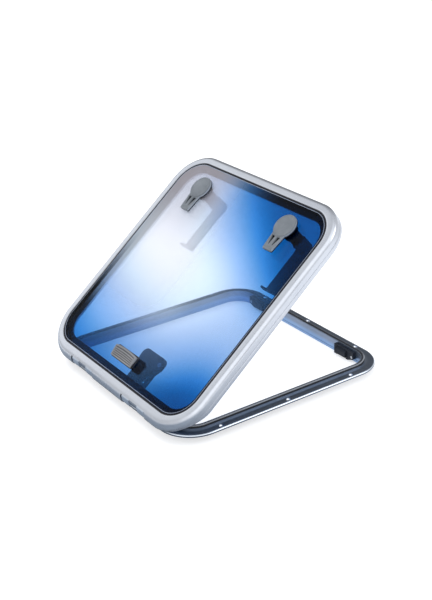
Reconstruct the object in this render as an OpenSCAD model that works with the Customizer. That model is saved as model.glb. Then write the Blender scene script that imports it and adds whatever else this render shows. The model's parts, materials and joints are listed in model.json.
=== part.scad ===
// Low-profile opening deck hatch: a flanged aluminium base frame, a glazed lid on
// two pinned hinges, two turning handles and a squeeze lever that brakes the lid.
// Origin: centre of the deck cut-out, on the deck surface under the flange.
// +X runs along the hinge line, +Y from the hinges to the latches, +Z out of the deck.

/* [Base frame] */
// Overall width and depth of the base flange
base_w = 500; // [496:1:501]
// Width and depth of the clear opening
clear_w = 444; // [443:1:446]
// Thickness of the mounting flange
flange_t = 5; // [4.5:0.1:5.4]
// Depth of the spigot below the deck surface
spigot_d = 15; // [12:1:24]
// Wall thickness of the spigot
spigot_t = 3; // [2.5:0.1:3]
// Distance of the outer screw holes from the centre of each side
hole_off = 156; // [140:1:165]
// Distance of the screw holes from the flange's outer edge
hole_in = 8.2; // [7.8:0.1:10]
// Radius of the screw holes
hole_r = 2.6; // [2.2:0.1:3]

/* [Lid] */
// Angle at which the lid stands open
open_deg = 39.5; // [0:0.5:60]
// Width and depth of the opening in the lid's rim that holds the pane
rim_w = 478.8; // [478:0.2:479.4]
// Corner radius of that opening
rim_r = 59.9; // [56:0.1:62]
// Thickness of the glazing
pane_t = 10; // [9.6:0.1:10]
// Width of the sealant joint round the pane
bead_w = 2.2; // [1.6:0.1:3]
// Height of the pane's top face above the deck with the lid closed
pane_z = 29; // [29:0.1:29.6]

/* [Hinges] */
// Distance of each hinge's centre from the middle of the lid
hinge_x = 99.5; // [80:0.5:130]
// Outer radius of the hinge knuckles
knuckle_r = 5.2; // [5:0.1:5.2]
// Radius of the hinge pins
pin_r = 2.5; // [2.2:0.1:2.8]

/* [Handles] */
// Distance of each handle's axis from the middle of the lid
handle_x = 143; // [120:1:146]
// Radius of the handle's round cap
cap_r = 25.5; // [24:0.5:27]
// Reach of the outer lever from the handle's axis
lever_len = 58; // [50:1:64]
// Reach of the inner arm from the handle's axis
arm_len = 111; // [90:1:111]
// Radius of the handle's spindle
spindle_r = 6.5; // [6:0.1:7]

/* [Stay] */
// Half width of the brake lever's front end
stay_hw = 38; // [36:1:42]
// Radius of the brake track, centred on the hinge line
track_r = 57; // [56.5:0.1:57]

/* [Hidden] */
$fn = 96;
e = 0.01;

// hinge axis: just inside the lid's hinge-side rail
ay = -255.7;
az = 20.6;
cc = clear_w / 2;                // half clear opening
ccor = 179.5;                    // centre of every corner arc, both ways
cr = cc - ccor;                  // corner radius of the clear opening
bo = base_w / 2;
ro = rim_w / 2;
ph = ro - bead_w;                // half width of the pane
pr = rim_r - bead_w;             // corner radius of the pane
z_bed = pane_z - pane_t;         // underside of the pane
z_led = z_bed - 1.2;             // top of the ledge that carries the pane
led_t = 4;
led_w = 18.4;
side_w = 18.6;                   // plan width of the rim beside the pane
rear_w = 27.2;                   // the same on the hinge side
rcx = ccor + side_w - rear_w;    // centre of the hinge-side corners
rsr = 19.07;                     // radius and centre of the hinge side's shoulder
rsy = rsr - ro - rear_w;
rsz = pane_z - 18.65;
hy = 181.5;                      // handle axis, from the middle towards the latches
kx = 149.5;                      // centre of each keeper and its lower edge
kz = -14.6;
hinge_xs = [-hinge_x, hinge_x];
k_w = 13.6;                      // half width of the middle knuckle
k_o = 40.5;                      // half width of the whole hinge
py = -206;                       // pivot of the brake lever
pz = -31;
sy = -194;                       // line of the stay's clamp screws
sx = 24;

// ---------- helpers ----------
module lid_pose() translate([0, ay, az]) rotate([open_deg, 0, 0]) translate([0, -ay, -az]) children();

// rounded rectangle with true arcs: half sizes a, b and corner radius r
module rrect(a, b, r) {
  square([2 * (a - r), 2 * b], center = true);
  square([2 * a, 2 * (b - r)], center = true);
  for (i = [-1, 1], j = [-1, 1]) translate([i * (a - r), j * (b - r)]) circle(r);
}
// a profile drawn as (distance outward, height), carried round a rounded square
module ring(a, r) {
  for (k = [0:3]) rotate([0, 0, 90 * k]) {
    rotate([90, 0, 0]) linear_extrude(2 * (a - r), center = true) translate([a, 0]) children();
    translate([a - r, a - r, 0]) rotate_extrude(angle = 90) translate([r, 0]) children();
  }
}
// a profile drawn as (y, z), carried along X between x0 and x1
module alongx(x0, x1) translate([x0, 0, 0]) rotate([90, 0, 90]) linear_extrude(x1 - x0) children();
module xcyl(x0, x1, r, y, z) translate([x0, y, z]) rotate([0, 90, 0]) cylinder(r = r, h = x1 - x0);
module ycyl(y0, y1, r, x, z) translate([x, y0, z]) rotate([-90, 0, 0]) cylinder(r = r, h = y1 - y0);
// countersunk screw standing on its tip, head face at z = 0, shank down
module csk(r, hr, hh, len) {
  translate([0, 0, -hh]) cylinder(r1 = r, r2 = hr, h = hh);
  translate([0, 0, -len]) cylinder(r = r, h = len);
}

// ---------- base ----------
module base_profile() {
  w = bo - cc;
  difference() {
    polygon([[0, -spigot_d], [spigot_t, -spigot_d], [spigot_t, 0], [w, 0], [w, flange_t - 2.2], [w - 1.8, flange_t],
      [9.4, flange_t], [9.4, 8.2], [7.9, 8.2], [7.9, 4], [2, 4], [2, 11.5], [0, 11.5]]);
    // drip groove in the spigot
    translate([-e, -10]) square([0.8 + e, 1.2]);
  }
}
function base_holes() = [for (k = [0:3], t = [-hole_off, 0, hole_off]) [k * 90, bo - hole_in, t]];
module base_frame() {
  color([0.38, 0.42, 0.48]) difference() {
    ring(cc, cr) base_profile();
    for (h = base_holes()) rotate([0, 0, h[0]]) translate([h[1], h[2], 0]) {
      translate([0, 0, -1]) cylinder(r = hole_r, h = 10);
      translate([0, 0, flange_t - 2.6]) cylinder(r1 = hole_r, r2 = hole_r + 2.8, h = 2.8);
    }
    for (x = hinge_xs, i = [-8, 8]) translate([x + i, -241, 1.5]) cylinder(r = 1.65, h = 10);
    for (x = [-kx, kx], i = [-24.5, 24.5]) ycyl(cc - 1, cc + spigot_t + 1, 1.65, x + i, -4.5);
    for (x = [-16, 16], z = [-7, 1.6]) ycyl(-cc - spigot_t - 1, -cc + 1, 1.35, x, z);
  }
}
module base_seal() {
  color([0.05, 0.05, 0.06]) ring(cc, cr) difference() {
    union() {
      translate([2.1, 4]) square([5.7, 5]);
      translate([4.95, 10.3]) circle(2.85);
    }
    translate([4.95, 10.3]) circle(1.6);
  }
}
// keeper: a plate on the wall with a stepped nose; the latch tongue turns in below the nose
module keeper(s) mirror([s > 0 ? 0 : 1, 0, 0]) translate([kx, 0, 0]) difference() {
  union() {
    translate([0, cc, 0]) rotate([90, 0, 0]) linear_extrude(7) polygon([[-29.5, kz], [13, kz], [29.5, -8], [29.5, 7], [-29.5, 7]]);
    alongx(-21.5, 9.5) polygon([[cc - 6, -10], [cc - 6, 4], [cc - 8.5, 4], [cc - 11.5, 1], [cc - 11.5, -10]]);
  }
  for (i = [-24.5, 24.5]) {
    ycyl(cc - 20, cc + 1, 1.7, i, -4.5);
    ycyl(cc - 20, cc - 5, 3.2, i, -4.5);
  }
  // room for the tongue's tip
  translate([-19.5, cc - 13, kz - 2]) cube([27, 8, -kz - 8.2]);
}
module keeper_left() color([0.1, 0.1, 0.11]) keeper(-1);
module keeper_right() color([0.1, 0.1, 0.11]) keeper(1);
module keeper_screws() color([0.75, 0.76, 0.78])
  for (s = [-1, 1], i = [-24.5, 24.5]) {
    ycyl(cc - 5, cc + spigot_t, 1.6, s * kx + i, -4.5);
    ycyl(cc - 6.6, cc - 5, 3, s * kx + i, -4.5);
  }

module hinge_base(x) translate([x, 0, 0]) difference() {
  union() {
    xcyl(-k_w, k_w, knuckle_r - 0.4, ay, az);
    alongx(-k_w, k_w) polygon([[ay - 1, az - 4.2], [ay + 6.4, flange_t], [-236.2, flange_t], [-236.2, flange_t + 2.4],
      [-244.2, flange_t + 3.2], [ay + 5.2, az - 2.6], [ay, az]]);
  }
  xcyl(-k_w - 1, k_w + 1, pin_r + 0.05, ay, az);
  for (i = [-8, 8]) translate([i, -241, 0]) {
    cylinder(r = 1.65, h = 20);
    translate([0, 0, flange_t + 1.4]) cylinder(r1 = 1.65, r2 = 3.4, h = 1.7);
    translate([0, 0, flange_t + 3.05]) cylinder(r = 3.4, h = 6);
  }
}
module hinge_base_left() color([0.3, 0.33, 0.38]) hinge_base(-hinge_x);
module hinge_base_right() color([0.3, 0.33, 0.38]) hinge_base(hinge_x);
module hinge_base_screws() color([0.75, 0.76, 0.78])
  for (x = hinge_xs, i = [-8, 8]) translate([x + i, -241, flange_t + 2.7]) csk(1.6, 2.9, 1.3, 6);

// brake track: a block on the hinge-side wall whose face is an arc about the hinge line
module stay_track() color([0.12, 0.12, 0.13]) difference() {
  union() {
    intersection() {
      xcyl(-12, 12, track_r, ay, az);
      translate([-12, -cc, -14.4]) cube([24, 40, 26.9]);
    }
    translate([-21, -cc, -12]) cube([42, 3, 17.6]);
  }
  for (x = [-16, 16], z = [-7, 1.6]) {
    ycyl(-cc - 1, -cc + 5, 1.4, x, z);
    ycyl(-cc + 1.6, -cc + 30, 2.8, x, z);
  }
  translate([-8.5, -cc - e, -16]) cube([17, 12, 22]);
}
module stay_track_screws() color([0.75, 0.76, 0.78])
  for (x = [-16, 16], z = [-7, 1.6]) {
    ycyl(-cc - spigot_t, -cc + 1.6, 1.3, x, z);
    ycyl(-cc + 1.6, -cc + 3.2, 2.6, x, z);
  }

// ---------- lid frame and glazing, drawn closed ----------
// plan of the lid's outline, brought in by t: the hinge side is wider than the others
module lid_plan(t) {
  translate([t - ro - side_w, -ccor]) square([2 * (ro + side_w - t), 2 * ccor]);
  translate([-ccor, 0]) square([2 * ccor, ro + side_w - t]);
  translate([-rcx, t - ro - rear_w]) square([2 * rcx, ro + rear_w - t]);
  for (i = [-1, 1]) {
    translate([i * ccor, ccor]) circle(ro + side_w - ccor - t);
    translate([i * rcx, -ccor]) circle(ro + rear_w - ccor - t);
  }
}
// a profile drawn as (distance outward from the outline, height), carried round it
module lid_sweep() {
  alongx(-ccor, ccor) translate([ro + side_w, 0]) children();
  alongx(-rcx, rcx) translate([-ro - rear_w, 0]) mirror([1, 0]) children();
  for (i = [0, 1]) mirror([i, 0, 0]) {
    rotate([90, 0, 0]) linear_extrude(2 * ccor, center = true) translate([ro + side_w, 0]) children();
    translate([ccor, ccor, 0]) rotate_extrude(angle = 90) translate([ro + side_w - ccor, 0]) children();
    translate([rcx, -ccor, 0]) rotate([0, 0, -90]) rotate_extrude(angle = 90) translate([ro + rear_w - ccor, 0]) children();
  }
}
// outer 12 mm of the rim: rounded shoulder, parting groove and slightly recessed lower strip
module rim_profile() difference() {
  union() {
    translate([-12, 2]) square([12, pane_z - 10]);
    translate([-12, 2]) square([4, pane_z - 2]);
    intersection() { translate([-8, pane_z - 8]) circle(8); translate([-8, pane_z - 8]) square([8, 8]); }
  }
  translate([-0.7, -1]) square([2, 13]);
  translate([-1.4, 11.4]) square([3, 1]);
}
// the hinge side's broad shoulder, as (y, z), brought in by t
module shoulder_in(t) {
  translate([rsy, rsz]) circle(rsr - t);
  translate([rsy - rsr + t, -20]) square([rsr - t, rsz + 20]);
  translate([rsy, -20]) square([600, 70]);
}
module lid_frame() color([0.82, 0.84, 0.86]) lid_pose() difference() {
  union() {
    translate([0, 0, 2]) linear_extrude(pane_z - 2) lid_plan(12);
    lid_sweep() rim_profile();
  }
  alongx(-230, 230) difference() { translate([rsy - 45, rsz]) square([45, 40]); translate([rsy, rsz]) circle(rsr); }
  // seat for the pane, the opening inside the ledge and the hollow of the section
  translate([0, 0, z_led]) linear_extrude(20) rrect(ro, ro, rim_r);
  translate([0, 0, -1]) linear_extrude(40) rrect(ro - led_w, ro - led_w, rim_r - led_w);
  intersection() {
    translate([0, 0, -1]) linear_extrude(z_led - led_t + 1) lid_plan(3.5);
    alongx(-300, 300) shoulder_in(3);
  }
  intersection() {
    translate([0, 0, 16.2]) linear_extrude(pane_z - 20.2) difference() { lid_plan(3.5); rrect(ro + 3, ro + 3, rim_r + 3); }
    alongx(-300, 300) shoulder_in(3);
  }
  // the rear skirt is cut high so that it swings clear of the flange
  alongx(-300, 300) polygon([[-300, -5], [-300, 8.5], [-236, 8.5], [-190, 1.8], [-190, -5]]);
  for (x = hinge_xs) translate([x, 0, 0]) {
    // pocket for the hinge
    translate([-43, -290, 0]) cube([86, 34, 60]);
    translate([-43, -258, 0]) cube([86, 15.1, 25.8]);
    for (i = [-27, 27]) translate([i, -246.4, 24]) cylinder(r = 2.05, h = 3.6);
  }
}
module lid_pane() color([0.35, 0.6, 0.9, 0.5]) lid_pose() difference() {
  translate([0, 0, z_bed]) linear_extrude(pane_t) rrect(ph, ph, pr);
  ring(ph, pr) polygon([[-0.9, pane_z + e], [0.5, pane_z - 1.4], [0.5, pane_z + e]]);
  for (i = [-1, 1]) translate([i * handle_x, hy, 0]) cylinder(r = 13.2, h = 60);
  for (i = [-1, 1]) translate([i * sx, sy, 0]) cylinder(r = 5.2, h = 60);
}
module glazing_bead() color([0.05, 0.05, 0.07]) lid_pose() translate([0, 0, z_bed])
  linear_extrude(pane_t - 0.5) difference() { rrect(ro, ro, rim_r); rrect(ph, ph, pr); }
module glazing_bed() color([0.04, 0.04, 0.06]) lid_pose() translate([0, 0, z_led])
  linear_extrude(z_bed - z_led) difference() { rrect(ro, ro, rim_r); rrect(ro - led_w, ro - led_w, rim_r - led_w); }

module hinge_lid(x) lid_pose() translate([x, 0, 0]) difference() {
  union() {
    xcyl(-k_o, k_o, knuckle_r, ay, az);
    alongx(-k_o, k_o) polygon([[ay, az + knuckle_r], [-243, az + knuckle_r], [-243, 17.2], [ay + 6, 17.2], [ay, az - knuckle_r]]);
    // outer face of the knuckles, just inside the shoulder's own curve
    alongx(-k_o, k_o) intersection() {
      translate([rsy, rsz]) circle(rsr - 1.4);
      translate([-272, 13]) square([272 - 256.4, 20]);
    }
  }
  translate([-k_w - 0.5, ay - 12, 0]) cube([2 * k_w + 1, 32, 60]);
  xcyl(-k_o - 1, k_o + 1, pin_r + 0.02, ay, az);
  for (i = [-27, 27]) translate([i, -246.4, 0]) cylinder(r = 2.05, h = 60);
}
// the two outer knuckles are tied by a bar behind the middle one
module hinge_tie(x) lid_pose() translate([x - k_w - 1, -245.4, 17.4]) cube([2 * k_w + 2, 2.4, 8.4]);
module hinge_lid_left() color([0.8, 0.82, 0.85]) { hinge_lid(-hinge_x); hinge_tie(-hinge_x); }
module hinge_lid_right() color([0.8, 0.82, 0.85]) { hinge_lid(hinge_x); hinge_tie(hinge_x); }
module hinge_lid_screws() color([0.75, 0.76, 0.78]) lid_pose()
  for (x = hinge_xs, i = [-27, 27]) translate([x + i, -246.4, 0]) {
    translate([0, 0, 14.8]) cylinder(r = 3.4, h = 2.4);
    translate([0, 0, 17]) cylinder(r = 2, h = 10.3);
  }
module hinge_pin(x) color([0.8, 0.81, 0.83]) lid_pose() xcyl(x - k_o + 0.2, x + k_o - 0.2, pin_r, ay, az);
module hinge_pin_left() hinge_pin(-hinge_x);
module hinge_pin_right() hinge_pin(hinge_x);
module hinge_caps() color([0.08, 0.08, 0.09]) lid_pose()
  for (x = hinge_xs, i = [-1, 1]) translate([x + i * (k_o + 1), 0, 0]) xcyl(-1, 1, 5.2, ay, az);

// ---------- stay ----------
module stay_pad() color([0.5, 0.5, 0.48]) lid_pose() difference() {
  union() {
    translate([0, sy, pane_z + 1]) linear_extrude(4.2) rrect(38, 13.5, 3);
    translate([0, sy + 1.5, pane_z + 5]) linear_extrude(2.6) rrect(34, 9.5, 2.5);
  }
  for (j = [-1:1]) alongx(-30, 30) translate([sy + 1.5 + j * 5, pane_z + 7.8]) circle(1.1);
  for (i = [-1, 1]) translate([i * sx, sy, pane_z]) cylinder(r = 2.5, h = 5.4);
}
module stay_gasket() color([0.05, 0.05, 0.06]) lid_pose() translate([0, sy, pane_z]) linear_extrude(1) difference() {
  rrect(38.6, 14.1, 3.4);
  for (i = [-1, 1]) translate([i * sx, 0]) circle(5.2);
}
module stay_bracket() color([0.09, 0.09, 0.1]) lid_pose() difference() {
  union() {
    translate([0, sy, -22]) linear_extrude(5) rrect(31, 11.5, 4);
    for (i = [-1, 1]) translate([i * sx, sy, -17.5]) cylinder(r = 7.5, h = z_bed - 1 + 17.5);
    for (i = [-1, 1]) alongx(i * 14 - 2, i * 14 + 2) {
      translate([py, pz]) circle(5);
      translate([py - 5, pz]) square([10, -20 - pz]);
    }
  }
  for (i = [-1, 1]) translate([i * sx, sy, -30]) cylinder(r = 2.6, h = 60);
  xcyl(-20, 20, 2, py, pz);
}
module stay_washers() color([0.05, 0.05, 0.06]) lid_pose()
  for (i = [-1, 1]) translate([i * sx, sy, z_bed - 1]) difference() { cylinder(r = 8.5, h = 1); translate([0, 0, -1]) cylinder(r = 2.6, h = 3); }
module stay_screws() color([0.75, 0.76, 0.78]) lid_pose()
  for (i = [-1, 1]) translate([i * sx, sy, 0]) {
    translate([0, 0, -24.2]) cylinder(r = 4.4, h = 2.2);
    translate([0, 0, -22.5]) cylinder(r = 2.45, h = pane_z + 5.2 + 22.5);
  }
module stay_pin() color([0.8, 0.81, 0.83]) lid_pose() xcyl(-24.5, 24.5, 2, py, pz);
// torsion springs on the pin, outside the bracket's ears
module coil(x0, turns, pitch, rm, rw) {
  n = 12 * turns; m = 8;
  pts = [for (k = [0:n]) let (a = 30 * k) for (j = [0:m - 1]) let (b = 360 * j / m, q = rm + rw * cos(b))
    [x0 + pitch * k / 12 + rw * sin(b), py + q * cos(a), pz + q * sin(a)]];
  fac = concat([[for (j = [0:m - 1]) j]], [for (k = [0:n - 1], j = [0:m - 1]) [k * m + j, (k + 1) * m + j, (k + 1) * m + (j + 1) % m, k * m + (j + 1) % m]],
    [[for (j = [0:m - 1]) n * m + m - 1 - j]]);
  polyhedron(pts, fac, convexity = 4);
}
module stay_springs() color([0.7, 0.72, 0.74]) lid_pose() { coil(17, 4, 1.5, 3.1, 0.55); coil(-23, 4, 1.5, 3.1, 0.55); }

module lever_plan() {
  translate([0, -163]) rrect(stay_hw, 13, 12.9);
  polygon([[-stay_hw, -163], [-stay_hw, -172], [-30.5, -188], [-30.5, -221.2], [30.5, -221.2], [30.5, -188], [stay_hw, -172], [stay_hw, -163]]);
}
module stay_lever() color([0.11, 0.11, 0.12]) lid_pose() difference() {
  union() {
    translate([0, 0, -36]) linear_extrude(8) lever_plan();
    xcyl(-11.6, 11.6, 5, py, pz);
    alongx(-11.6, 11.6) polygon([[-221.2, -30], [-221.2, -19], [-214, -19], [-210.5, -28], [-210.5, -30]]);
  }
  for (i = [-1, 1]) translate([i * 18.1 - 6.5, py - 7, -40]) cube([13, 14, 20]);
  xcyl(-12, 12, 2.05, py, pz);
  xcyl(-40, 40, track_r + 4, ay, az);
  translate([30, -166, -40]) cylinder(r = 2.6, h = 20);
}
module stay_shoe() color([0.25, 0.2, 0.18]) lid_pose() intersection() {
  difference() { xcyl(-10, 10, track_r + 4, ay, az); xcyl(-11, 11, track_r + 0.5, ay, az); }
  translate([-10, -221.2, -31]) cube([20, 7.2, 12]);
}
module stay_knob() color([0.3, 0.31, 0.33]) lid_pose() translate([30, -166, 0]) {
  translate([0, 0, -28]) difference() { cylinder(r = 4.8, h = 1.8); translate([0, 0, 0.8]) cylinder(r = 2.2, h = 2, $fn = 6); }
  translate([0, 0, -36]) cylinder(r = 2.5, h = 8.5);
  translate([0, 0, -38]) cylinder(r = 4.4, h = 2);
}

// ---------- handles ----------
module at_handle(s) lid_pose() translate([s * handle_x, hy, 0]) children();
module h_gasket(s) color([0.05, 0.05, 0.06]) at_handle(s) translate([0, 0, pane_z]) difference() {
  cylinder(r = 20, h = 0.8); translate([0, 0, -1]) cylinder(r = 13.1, h = 3); }
module h_bush(s) color([0.1, 0.1, 0.11]) at_handle(s) difference() {
  union() { translate([0, 0, pane_z + 0.8]) cylinder(r = 19.4, h = 1.5); translate([0, 0, 14]) cylinder(r = 12.9, h = pane_z - 13); }
  cylinder(r = spindle_r + 0.05, h = 60);
  translate([0, 0, 23]) cylinder(r = spindle_r + 1.85, h = 2);
}
module h_nut(s) color([0.08, 0.08, 0.09]) at_handle(s) translate([0, 0, 14]) difference() {
  union() { cylinder(r = 15.5, h = 3.2, $fn = 6); translate([0, 0, 2.2]) cylinder(r = 17.2, h = z_bed - 16.2); }
  translate([0, 0, -1]) cylinder(r = 12.95, h = 9);
}
module h_oring(s) color([0.03, 0.03, 0.03]) at_handle(s) translate([0, 0, 24]) rotate_extrude() translate([spindle_r + 0.95, 0]) circle(0.85);
// outer lever: round cap with a tapered, pierced grip towards the hinge side
module h_lever(s) color([0.55, 0.57, 0.58]) at_handle(s) difference() {
  union() {
    translate([0, 0, pane_z + 2.6]) cylinder(r = cap_r, h = 6.4);
    translate([0, 0, pane_z + 9]) cylinder(r1 = cap_r, r2 = cap_r - 1.6, h = 1.4);
    translate([0, 0, pane_z + 2.6]) linear_extrude(6.8) polygon([[-16, 0], [16, 0], [13, -lever_len + 2], [11, -lever_len], [-11, -lever_len], [-13, -lever_len + 2]]);
  }
  translate([0, 0, pane_z]) cylinder(r = spindle_r, h = 7);
  for (i = [-1, 1]) translate([0, 0, pane_z + 4.6]) linear_extrude(10)
    polygon([[i * 3.2, -cap_r - 1.5], [i * 11.5, -cap_r - 0.5], [i * 4, -lever_len + 7.5]]);
}
module h_spindle(s) color([0.78, 0.79, 0.81]) at_handle(s) difference() {
  translate([0, 0, -42]) cylinder(r = spindle_r, h = pane_z + 7 + 42);
  translate([0, 0, -43]) cylinder(r = 2.55, h = 20);
}
// inner arm: hub column, latch tongue and long grip bar; t is the tongue's side
module h_arm(s, t) color([0.09, 0.09, 0.1]) at_handle(s) difference() {
  union() {
    translate([0, 0, -42]) cylinder(r = 15, h = 24);
    translate([0, 0, -20]) cylinder(r = 13, h = 33);
    translate([0, 0, -42]) linear_extrude(8) polygon([[-15, 0], [15, 0], [12.2, -22], [12, -arm_len], [-12, -arm_len], [-12.2, -22]]);
    translate([-25, -arm_len, -42]) cube([37, 4, 11]);
    // latch tongue with a lead-in ramp on top
    rotate([0, 0, t > 0 ? 0 : 180]) translate([0, -8, -18]) difference() {
      cube([34, 16, 7]);
      translate([26, -1, 7]) rotate([0, 20, 0]) cube([20, 18, 10]);
    }
  }
  translate([0, 0, -50]) cylinder(r = spindle_r, h = 80);
}
module h_screw(s) color([0.75, 0.76, 0.78]) at_handle(s) {
  translate([0, 0, -45]) cylinder(r = 8.5, h = 3);
  translate([0, 0, -43]) cylinder(r = 2.5, h = 16);
}
module handle_left_gasket() h_gasket(-1);
module handle_left_bush() h_bush(-1);
module handle_left_nut() h_nut(-1);
module handle_left_oring() h_oring(-1);
module handle_left_lever() h_lever(-1);
module handle_left_spindle() h_spindle(-1);
module handle_left_arm() h_arm(-1, 1);
module handle_left_screw() h_screw(-1);
module handle_right_gasket() h_gasket(1);
module handle_right_bush() h_bush(1);
module handle_right_nut() h_nut(1);
module handle_right_oring() h_oring(1);
module handle_right_lever() h_lever(1);
module handle_right_spindle() h_spindle(1);
module handle_right_arm() h_arm(1, -1);
module handle_right_screw() h_screw(1);

base_frame();
base_seal();
keeper_left();
keeper_right();
keeper_screws();
hinge_base_left();
hinge_base_right();
hinge_base_screws();
stay_track();
stay_track_screws();
lid_frame();
lid_pane();
glazing_bead();
glazing_bed();
hinge_lid_left();
hinge_lid_right();
hinge_lid_screws();
hinge_pin_left();
hinge_pin_right();
hinge_caps();
stay_pad();
stay_gasket();
stay_bracket();
stay_washers();
stay_screws();
stay_pin();
stay_springs();
stay_lever();
stay_shoe();
stay_knob();
handle_left_gasket();
handle_left_bush();
handle_left_nut();
handle_left_oring();
handle_left_lever();
handle_left_spindle();
handle_left_arm();
handle_left_screw();
handle_right_gasket();
handle_right_bush();
handle_right_nut();
handle_right_oring();
handle_right_lever();
handle_right_spindle();
handle_right_arm();
handle_right_screw();
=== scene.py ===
import json
import math
import bpy
import bmesh
from mathutils import Vector, Matrix


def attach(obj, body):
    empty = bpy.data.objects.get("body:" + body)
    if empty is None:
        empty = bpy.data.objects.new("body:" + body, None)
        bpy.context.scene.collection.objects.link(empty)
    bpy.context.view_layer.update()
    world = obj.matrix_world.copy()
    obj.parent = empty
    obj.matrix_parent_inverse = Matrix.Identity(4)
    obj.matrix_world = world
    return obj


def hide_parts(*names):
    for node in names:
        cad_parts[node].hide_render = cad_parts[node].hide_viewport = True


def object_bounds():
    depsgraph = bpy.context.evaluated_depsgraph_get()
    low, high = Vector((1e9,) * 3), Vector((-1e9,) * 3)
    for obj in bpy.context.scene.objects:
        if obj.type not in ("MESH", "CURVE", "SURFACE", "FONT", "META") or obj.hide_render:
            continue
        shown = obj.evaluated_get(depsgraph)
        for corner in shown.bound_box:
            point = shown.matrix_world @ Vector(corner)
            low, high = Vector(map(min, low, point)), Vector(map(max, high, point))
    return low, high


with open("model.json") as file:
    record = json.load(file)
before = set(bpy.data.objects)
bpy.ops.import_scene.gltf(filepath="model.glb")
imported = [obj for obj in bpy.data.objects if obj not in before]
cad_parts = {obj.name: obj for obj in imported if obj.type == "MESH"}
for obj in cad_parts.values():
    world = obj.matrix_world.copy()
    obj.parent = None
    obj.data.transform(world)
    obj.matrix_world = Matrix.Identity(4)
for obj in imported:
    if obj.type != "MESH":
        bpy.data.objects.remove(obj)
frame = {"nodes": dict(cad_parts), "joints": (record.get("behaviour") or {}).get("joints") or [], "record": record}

box0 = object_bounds()
N = frame["nodes"]
joints = {j["name"]: j for j in frame["joints"]}
scene = bpy.context.scene

# ---------------------------------------------------------------- the lid's own coordinates
# The lid stands open at rest. Pieces of the lid are drawn as if it were shut, in millimetres,
# then turned about the hinge line with L.
hinge = joints["lid_hinge"]
AX = Vector(hinge["pos_m"])
OPEN = math.radians(-hinge["range_deg"][0])
L = Matrix.Translation(AX) @ Matrix.Rotation(OPEN, 4, "X") @ Matrix.Translation(-AX) @ Matrix.Scale(0.001, 4)
BASE = Matrix.Scale(0.001, 4)
TILT = math.degrees(OPEN)

# ---------------------------------------------------------------- camera
a, e, roll = math.radians(56.39), math.radians(24.96), math.radians(-2.23)
back = Vector((math.sin(a) * math.cos(e), -math.cos(a) * math.cos(e), math.sin(e)))
r0 = Vector((math.cos(a), math.sin(a), 0))
u0 = back.cross(r0)
c, s = math.cos(roll), math.sin(roll)
right, up = c * r0 + s * u0, -s * r0 + c * u0
cam = bpy.data.objects.new("camera", bpy.data.cameras.new("camera"))
scene.collection.objects.link(cam)
cam.data.lens = 67.63
cam.data.sensor_width = 36
m = Matrix.Identity(4)
for i in range(3):
    m[i][0], m[i][1], m[i][2] = right[i], up[i], back[i]
m.translation = Vector((1.7242, -1.1424, 1.0882))
cam.matrix_world = m
cam.data.clip_end = 60
scene.camera = cam


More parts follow.
